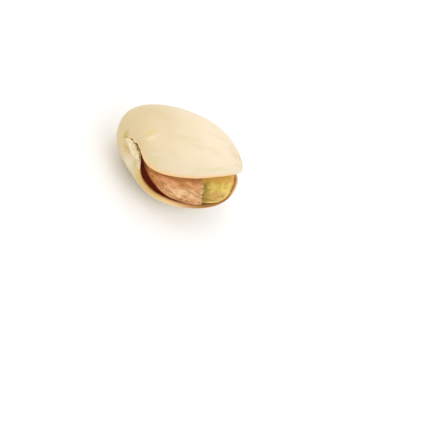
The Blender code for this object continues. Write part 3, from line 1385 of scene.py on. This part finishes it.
    def relief(self, material: bpy.types.Material) -> GeometryTree:
        """Makes the tree that marks the shell's zones and raises its swells, ridges and torn strip.

        Args:
            material: The shell's finish.

        Returns:
            The tree.
        """
        tree = GeometryTree("shell_relief")
        swell_height = tree.socket("Swell Height", 0.10 * MM)
        swell_size = tree.socket("Swells per Metre", 260.0)
        ridge_height = tree.socket("Ridge Height", 0.045 * MM)
        ridge_rows = tree.socket("Ridge Rows", 26.0)
        strip_height = tree.socket("Strip Height", 0.16 * MM)
        scar_height = tree.socket("Scar Height", 0.20 * MM)
        scar_size = tree.socket("Scar Size", 0.95 * MM)
        rim_height = tree.socket("Rim Roughness", 0.05 * MM)
        crack_wander = tree.socket("Crack Wander", 0.80 * MM)
        seed = tree.socket("Seed", 4.0)
        from_stem, share, upper = (tree.mark(mark) for mark in (Mark.FROM_STEM, Mark.SHARE, Mark.UPPER))
        inner = tree.step(tree.mark(Mark.INSIDE), low=0.35, high=0.75)
        outer, lower = tree.rest(inner), tree.rest(upper)
        rim = self.rims(tree, from_stem, share)
        torn = tree.ripple(2200.0, 3.0, 0.6, seed).outputs[0]
        ragged = tree.minus(torn, 0.5)
        strip = tree.times(self.strip(tree, from_stem, share, ragged), lower, outer)
        scar = tree.times(self.scar(tree, scar_size, ragged), outer)
        rows = tree.combine(tree.times(from_stem, 2.2), tree.times(share, ridge_rows), tree.times(upper, 9.0))
        ridges = tree.minus(tree.noise(rows, detail=2.0, seed=seed).outputs[0], 0.5)
        ends = tree.times(tree.step(from_stem, low=0.03, high=0.20), tree.step(from_stem, low=1.0, high=0.90))
        height = tree.times(tree.swell(swell_size, 2.0, 0.5, seed), swell_height)
        height = tree.plus(height, tree.times(ridges, ends, ridge_height))
        height = tree.plus(height, tree.times(strip, tree.plus(0.3, torn), strip_height))
        height = tree.plus(height, tree.times(scar, tree.swell(1500.0, 4.0, 0.7, seed, 0.45), scar_height))
        height = tree.times(height, outer)
        height = tree.plus(height, tree.times(tree.swell(1300.0, 3.0, 0.6, seed), rim, rim_height))
        geometry = tree.source.outputs["Geometry"]
        for mark, value in ((Mark.INNER, inner), (Mark.RIM, rim), (Mark.STRIP, strip), (Mark.SCAR, scar)):
            geometry = tree.store(geometry, mark, value)
        bent = tree.ripple(1700.0, 2.0, 0.5, seed).outputs["Color"]
        bent = tree.vector("SUBTRACT", bent, (0.5, 0.5, 0.5))
        by_crack = tree.times(tree.step(share, low=0.93, high=0.985), tree.bell(from_stem, 0.15, 0.085))
        shift = tree.vector("SCALE", bent, tree.times(by_crack, crack_wander))
        tree.finish(tree.raise_surface(geometry, height, shift), material)
        return tree

    def build(self, material: bpy.types.Material) -> bpy.types.Object:
        """Makes the shell and puts it in the CAD shell's place.

        Args:
            material: The shell's finish.

        Returns:
            The shell.
        """
        cage = self.cage()
        self.relief(material).put_on(cage)
        shell = settle(cage, "woody_shell")
        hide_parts("shell")
        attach(shell, "root")
        return shell


@dataclass
class Kernel:
    """The seed, with the rule that its skin follows too. Lengths are in millimetres.

    Attributes:
        pose: How the nut lies.
        centre: Middle of the kernel in the nut's axes.
        tilt: Turn about each of the nut's axes, in degrees.
        stem_reach: From the middle to the stem end.
        tip_reach: From the middle to the tip.
        half_width: From the middle to either side.
        up: From the middle to the top.
        down: From the middle to the bottom.
        tip_thinning: How much thinner the underside is at the tip, as a share.
        stem_power: Power of the sine that gives the girth on the stem side.
        tip_power: The same on the tip side.
        wrinkle: Height of the long wrinkles.
        around: Number of steps round the cage.
        rings: Number of steps along it.
        levels: Divisions of the cage.
    """

    pose: RestPose
    centre: Triple = (2.00, -1.40, -0.11)
    tilt: Triple = (21.5, -3.2, -3.4)
    stem_reach: float = 6.19
    tip_reach: float = 9.32
    half_width: float = 5.26
    up: float = 3.44
    down: float = 1.88
    tip_thinning: float = 0.51
    stem_power: float = 1.51
    tip_power: float = 0.66
    wrinkle: float = 0.12
    around: int = 20
    rings: int = 16
    levels: int = 3

    def point(self, polar: float, around: float, offset: float = 0.0) -> Vector:
        """Surface of the kernel, moved out, as it lies on the floor.

        Args:
            polar: Angle from the tip pole.
            around: Angle round the long axis.
            offset: How far it is moved out.

        Returns:
            The point in the row frame, in metres.
        """
        tip = math.cos(polar) > 0.0
        girth = max(0.0, math.sin(polar)) ** (self.tip_power if tip else self.stem_power)
        height = self.up
        if math.sin(around) < 0.0:
            height = self.down * (1.0 - self.tip_thinning * smooth(math.cos(polar)))
        waves = math.sin(5.0 * around + 3.0 * polar) + 0.6 * math.sin(9.0 * around)
        spread = offset + self.wrinkle * girth * waves
        x = ((self.tip_reach if tip else self.stem_reach) + offset) * math.cos(polar)
        y = (self.half_width + spread) * girth * math.cos(around)
        z = (height + spread) * girth * math.sin(around)
        turn = Euler([math.radians(angle) for angle in self.tilt]).to_matrix()
        return self.pose.place(Vector(self.centre) + turn @ Vector((x, y, z)))

    def relief(self, material: bpy.types.Material) -> GeometryTree:
        """Makes the tree that raises the flesh's lumps and furrows.

        Args:
            material: The flesh's finish.

        Returns:
            The tree.
        """
        tree = GeometryTree("flesh_relief")
        lump_height = tree.socket("Lump Height", 0.26 * MM)
        lumps = tree.socket("Lumps per Metre", 520.0)
        furrow_depth = tree.socket("Furrow Depth", 0.16 * MM)
        seed = tree.socket("Seed", 9.0)
        lump = tree.swell(lumps, 3.0, 0.55, seed, 0.55)
        furrow = tree.ripple((260.0, 1150.0, 1150.0), 3.0, 0.6, seed).outputs[0]
        furrow = tree.times(tree.step(furrow, low=0.44, high=0.30), -1.0)
        height = tree.plus(tree.times(lump, lump_height), tree.times(furrow, furrow_depth))
        tree.finish(tree.raise_surface(tree.source.outputs["Geometry"], height), material)
        return tree

    def build(self, material: bpy.types.Material) -> bpy.types.Object:
        """Makes the kernel and puts it in the CAD kernel's place.

        Args:
            material: The flesh's finish.

        Returns:
            The kernel.
        """
        bm = ball(self.around, self.rings)
        marks = {mark: bm.verts.layers.float.new(mark.value) for mark in (Mark.FROM_STEM, Mark.AROUND)}
        for vert in bm.verts:
            polar, around = ball_angles(vert.co)
            vert.co = self.point(polar, around)
            vert[marks[Mark.FROM_STEM]] = 1.0 - polar / math.pi
            vert[marks[Mark.AROUND]] = around % (2.0 * math.pi)
        cage = working_object("kernel_cage", bm)
        round_off(cage, self.levels)
        self.relief(material).put_on(cage)
        flesh = settle(cage, "nut_flesh")
        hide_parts("kernel")
        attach(flesh, "root")
        return flesh


@dataclass
class SeedSkin:
    """The papery skin on the kernel, torn off its tip end. Lengths are in millimetres.

    Attributes:
        kernel: The kernel that it lies on.
        gap: Between the kernel and the skin.
        thickness: Of the skin.
        end: Middle of the torn edge, as a share of the half turn from the tip.
        swing: How far the torn edge wanders.
        swing_turn: Where it wanders furthest, in degrees round the kernel.
        rag: Size of the tears.
        tears: Each wave of the torn edge: its share, its repeats round the kernel and its start.
        around: Number of steps round the skin.
        rows: Number of steps from the torn edge to the stem end.
        crowding: Power that crowds the rows towards the torn edge.
        edge_drop: How far the torn edge bends down to the kernel, as a share of the gap.
        drop_run: Share of the rows over which it bends.
        torn_run: Share of the rows over which it thins.
        edge_thinning: How much it thins.
    """

    kernel: Kernel
    gap: float = 0.12
    thickness: float = 0.22
    end: float = 0.381
    swing: float = 0.062
    swing_turn: float = 50.0
    rag: float = 0.012
    tears: tuple[Triple, ...] = (
        (1.0, 8.0, 2.0), (0.7, 10.0, 0.0), (0.45, 27.0, 1.0), (0.35, 43.0, 2.4), (0.22, 71.0, 0.0)
    )
    around: int = 240
    rows: int = 72
    crowding: float = 1.3
    edge_drop: float = 1.3
    drop_run: float = 0.08
    torn_run: float = 0.05
    edge_thinning: float = 0.6

    def edge(self, around: float) -> float:
        """Polar angle of the torn edge.

        Args:
            around: Angle round the kernel.

        Returns:
            The angle from the tip pole.
        """
        ragged = sum(share * math.sin(repeats * around + start) for share, repeats, start in self.tears)
        swing = self.swing * math.sin(around + math.radians(self.swing_turn))
        return math.pi * (self.end + swing + self.rag * ragged)

    def sheet(self) -> bpy.types.Object:
        """Makes the skin as one thin wall, with its marks."""
        bm = bmesh.new()
        kept = (Mark.FROM_STEM, Mark.AROUND, Mark.TORN)
        marks = {mark: bm.verts.layers.float.new(mark.value) for mark in kept}
        weights = bm.verts.layers.deform.verify()
        rows = []
        for row in range(self.rows):
            run = row / self.rows
            gap = self.gap * (1.0 - self.edge_drop * bell(run, self.drop_run))
            torn = bell(run, self.torn_run)
            ring = []
            for step in range(self.around):
                around = 2.0 * math.pi * step / self.around
                start = self.edge(around)
                polar = start + (math.pi - start) * run**self.crowding
                vert = bm.verts.new(self.kernel.point(polar, around, gap))
                vert[marks[Mark.FROM_STEM]] = 1.0 - polar / math.pi
                vert[marks[Mark.AROUND]] = around
                vert[marks[Mark.TORN]] = torn
                vert[weights][0] = 1.0 - self.edge_thinning * torn
                ring.append(vert)
            rows.append(ring)
        pole = bm.verts.new(self.kernel.point(math.pi, 0.0, self.gap))
        pole[weights][0] = 1.0
        steps = [(step, (step + 1) % self.around) for step in range(self.around)]
        for near, far in zip(rows, rows[1:]):
            for step, follow in steps:
                bm.faces.new((near[step], near[follow], far[follow], far[step]))
        for step, follow in steps:
            bm.faces.new((rows[-1][step], rows[-1][follow], pole))
        obj = working_object("skin_sheet", bm)
        thicken(obj, self.thickness, 1.0)
        return obj

    def relief(self, material: bpy.types.Material) -> GeometryTree:
        """Makes the tree that wrinkles the skin.

        Args:
            material: The skin's finish.

        Returns:
            The tree.
        """
        tree = GeometryTree("skin_relief")
        fold_height = tree.socket("Fold Height", 0.16 * MM)
        crease_depth = tree.socket("Crease Depth", 0.10 * MM)
        seed = tree.socket("Seed", 6.0)
        folds = tree.times(tree.swell((240.0, 700.0, 700.0), 2.0, 0.5, seed), fold_height)
        creases = tree.times(tree.swell((420.0, 1700.0, 1700.0), 3.0, 0.6, seed), crease_depth)
        height = tree.plus(folds, creases)
        tree.finish(tree.raise_surface(tree.source.outputs["Geometry"], height), material)
        return tree

    def build(self, material: bpy.types.Material) -> bpy.types.Object:
        """Makes the skin and puts it in the CAD skin's place.

        Args:
            material: The skin's finish.

        Returns:
            The skin.
        """
        sheet = self.sheet()
        self.relief(material).put_on(sheet)
        skin = settle(sheet, "papery_skin")
        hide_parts("seed_coat")
        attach(skin, "root")
        return skin


@dataclass(frozen=True)
class Scatter:
    """Small loose bits that lie on a surface: crumbs of wood or flakes of skin.

    Attributes:
        name: Object's name.
        slot: Material slot of the bits, which is not used.
        bed: Where they lie.
        density: Bits to the square metre where they lie thickest.
        least: Smallest size, in millimetres.
        most: Largest size.
        breadth: Breadth for a length of 1.
        thickness: Thickness for a length of 1.
        curl: How far the ends bend up, for a length of 1.
        seed: Chooses the pattern.
    """

    name: str
    slot: str
    bed: Bed
    density: float
    least: float
    most: float
    breadth: float
    thickness: float
    curl: float
    seed: int

    def bit(self, tree: GeometryTree, seed: Socket) -> Socket:
        """One bit: a ragged, bent, flattened pebble about one unit long.

        Args:
            tree: Tree to add to.
            seed: Socket that chooses the pattern.

        Returns:
            The bit's geometry.
        """
        ball = tree.node("GeometryNodeMeshIcoSphere", {"Radius": 0.5, "Subdivisions": 2})
        place = tree.place()
        along = tree.node("ShaderNodeSeparateXYZ", {0: place}).outputs[0]
        ragged = tree.noise(place, scale=3.2, detail=2.0, rough=0.6, seed=seed).outputs[0]
        ragged = tree.plus(0.70, tree.times(ragged, 0.6))
        flattening = (1.0, self.breadth, self.thickness)
        flat = tree.vector("MULTIPLY", tree.vector("SCALE", place, ragged), flattening)
        bent = tree.vector("ADD", flat, tree.combine(0.0, 0.0, tree.times(along, along, self.curl)))
        inputs = {"Geometry": ball.outputs["Mesh"], "Position": bent}
        return tree.node("GeometryNodeSetPosition", inputs).outputs[0]

    def cover(self, tree: GeometryTree) -> Socket:
        """Where the bits lie.

        Args:
            tree: Tree to add to.

        Returns:
            1 where they lie thickest, and 0 where there are none.
        """
        from_stem = tree.mark(Mark.FROM_STEM)
        if self.bed is Bed.TEAR:
            streak = rubbed_streak(tree, from_stem, tree.mark(Mark.AROUND), 0.20, 0.54, 0.09)
            edge = tree.step(tree.mark(Mark.TORN), low=0.45, high=0.90)
            return tree.math("MINIMUM", tree.plus(tree.times(streak, 0.7), edge), 1.0)
        share, upper = tree.mark(Mark.SHARE), tree.mark(Mark.UPPER)
        near = tree.times(tree.step(share, low=0.940, high=0.965),
                          tree.step(share, low=0.996, high=0.982))
        along = tree.times(tree.step(from_stem, low=0.09, high=0.13),
                           tree.step(from_stem, low=0.30, high=0.26))
        above = tree.times(upper, tree.step(share, low=0.965, high=0.985), 0.35)
        above = tree.times(above, tree.step(from_stem, low=0.22, high=0.18))
        kept = tree.plus(above, tree.rest(upper))
        return tree.times(near, along, tree.times(tree.rest(tree.mark(Mark.INNER)), kept))

    def tree(self, material: bpy.types.Material) -> GeometryTree:
        """Makes the tree that scatters the bits.

        Args:
            material: Material of the bits.

        Returns:
            The tree.
        """
        tilt = 0.25
        tree = GeometryTree(self.name)
        seed = tree.socket("Seed", self.seed, "NodeSocketInt")
        density = tree.socket("Bits per Square Metre", self.density)
        least = tree.socket("Least Size", self.least * MM)
        most = tree.socket("Most Size", self.most * MM)
        inputs = {"Mesh": tree.source.outputs["Geometry"], "Density": tree.times(self.cover(tree), density),
                  "Seed": seed}
        spread = tree.node("GeometryNodeDistributePointsOnFaces", inputs, distribute_method="RANDOM")
        inputs = {0: (-tilt, -tilt, 0.0), 1: (tilt, tilt, 2.0 * math.pi), "Seed": seed}
        turn = tree.node("FunctionNodeRandomValue", inputs, data_type="FLOAT_VECTOR")
        spin = tree.node("FunctionNodeEulerToRotation", {0: turn.outputs[0]})
        inputs = {0: spread.outputs["Rotation"], 1: spin.outputs[0]}
        laid = tree.node("FunctionNodeRotateRotation", inputs, rotation_space="LOCAL")
        inputs = {2: least, 3: most, "Seed": seed}
        size = tree.node("FunctionNodeRandomValue", inputs, data_type="FLOAT")
        inputs = {"Points": spread.outputs["Points"], "Instance": self.bit(tree, seed),
                  "Rotation": laid.outputs[0], "Scale": size.outputs[1]}
        tree.finish(tree.node("GeometryNodeInstanceOnPoints", inputs).outputs[0], material)
        return tree

    def build(self, host: bpy.types.Object, material: bpy.types.Material) -> bpy.types.Object:
        """Scatters the bits over a finished piece.

        Args:
            host: Piece that they lie on.
            material: Material of the bits.

        Returns:
            All the bits as one object.
        """
        ground = add_object("ground", host.data.copy())
        ground.data.materials.clear()
        self.tree(material).put_on(ground)
        bits = settle(ground, self.name)
        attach(bits, "root")
        return bits


@dataclass(frozen=True)
class Lamp:
    """A square soft light that faces the nut.

    Attributes:
        name: Light's name.
        direction: From the nut, along the picture's right, its up and back to the camera.
        distance: From the nut, in metres.
        size: Side of the light, in metres.
        power: Power in watts.
        colour: Light's colour.
    """

    name: str
    direction: Triple
    distance: float
    size: float
    power: float
    colour: Triple


@dataclass(frozen=True)
class Studio:
    """Pale floor, soft light and the camera. The three axes are the picture's own, in the row frame.

    Attributes:
        right: Picture's right.
        up: Picture's up.
        back: From the nut to the camera.
        nut_middle: Middle of the nut in the picture, in metres.
        aim_right: How far right of the nut the camera aims, in millimetres.
        aim_down: How far below the nut it aims.
        distance: From the nut to the camera, in metres.
        field: Width of the picture at the nut, in millimetres.
        sensor: Width of the camera's sensor, in millimetres.
        floor_colour: Pale floor's colour.
        floor_size: Half its side, in metres.
        sky: Strength of the white sky.
        lamps: The lights.
    """

    right: Vector = Vector((0.80001, 0.01056, 0.59990))
    up: Vector = Vector((-0.32274, 0.85044, 0.41543))
    back: Vector = Vector((-0.50579, -0.52596, 0.68377))
    nut_middle: Vector = Vector((-0.393, -0.141, 5.959)) * MM
    aim_right: float = 6.39
    aim_down: float = 9.75
    distance: float = 0.50
    field: float = 65.35
    sensor: float = 36.0
    floor_colour: Triple = (0.92, 0.92, 0.92)
    floor_size: float = 3.0
    sky: float = 1.0
    lamps: tuple[Lamp, ...] = (
        Lamp("key", (0.15, 0.75, 0.65), 0.6, 0.45, 0.75, (1.0, 0.99, 0.97)),
        Lamp("fill", (0.55, -0.25, 0.80), 0.7, 0.5, 0.50, (1.0, 1.0, 0.99)),
    )

    def camera(self) -> None:
        """Adds the camera at the photograph's viewing angle."""
        lens = bpy.data.cameras.new("camera")
        lens.sensor_width = self.sensor
        lens.lens = self.sensor * self.distance / (self.field * MM)
        lens.clip_start = 0.01
        obj = add_object("camera", lens)
        aim = self.nut_middle + self.right * self.aim_right * MM - self.up * self.aim_down * MM
        turn = Matrix((self.right, self.up, self.back)).transposed().to_4x4()
        obj.matrix_world = Matrix.Translation(aim + self.back * self.distance) @ turn
        bpy.context.scene.camera = obj

    def light(self, lamp: Lamp) -> None:
        """Adds a light.

        Args:
            lamp: The light's settings.
        """
        light = bpy.data.lights.new(lamp.name, "AREA")
        light.shape = "SQUARE"
        light.size = lamp.size
        light.energy = lamp.power
        light.color = lamp.colour
        right, up, back = lamp.direction
        direction = self.right * right + self.up * up + self.back * back
        obj = add_object(lamp.name, light)
        obj.location = self.nut_middle + direction.normalized() * lamp.distance
        obj.rotation_euler = direction.to_track_quat("Z", "Y").to_euler()

    def floor(self) -> None:
        """Adds the plain pale floor."""
        bm = bmesh.new()
        bmesh.ops.create_grid(bm, x_segments=1, y_segments=1, size=self.floor_size)
        obj = working_object("floor", bm)
        obj.data.materials.append(Finish("pale_floor", 0.8).close((*self.floor_colour, 1.0)))

    def build(self) -> None:
        """Adds the floor, the lights, the sky and the camera."""
        self.floor()
        for lamp in self.lamps:
            self.light(lamp)
        world = bpy.data.worlds.new("studio")
        bpy.context.scene.world = world
        world.use_nodes = True
        sky = world.node_tree.nodes["Background"]
        sky.inputs["Color"].default_value = (1.0, 1.0, 1.0, 1.0)
        sky.inputs["Strength"].default_value = self.sky
        bpy.context.scene.view_settings.view_transform = "Standard"
        self.camera()


def main() -> None:
    """Builds the nut and the studio."""
    logging.basicConfig(level=logging.INFO, format="%(message)s")
    pose = RestPose()
    kernel = Kernel(pose)
    shell = Shell(pose).build(ShellFinish().build())
    kernel.build(FleshFinish().build())
    skin = SeedSkin(kernel).build(SkinFinish().build())
    crumbs = Scatter("seam_crumbs", "shell", Bed.CRACK, density=2.2e7, least=0.16, most=0.34,
                     breadth=0.75, thickness=0.45, curl=0.2, seed=5)
    crumbs.build(shell, FibreFinish("torn_wood", (0.84, 0.66, 0.38), (0.70, 0.52, 0.27)).build())
    flakes = Scatter("skin_flakes", "seed_coat", Bed.TEAR, density=6.0e6, least=0.20, most=0.50,
                     breadth=0.55, thickness=0.14, curl=0.5, seed=8)
    flakes.build(skin, FibreFinish("loose_skin", (0.86, 0.62, 0.34), (0.64, 0.36, 0.15)).build())
    Studio().build()


if __name__ == "__main__":
    main()
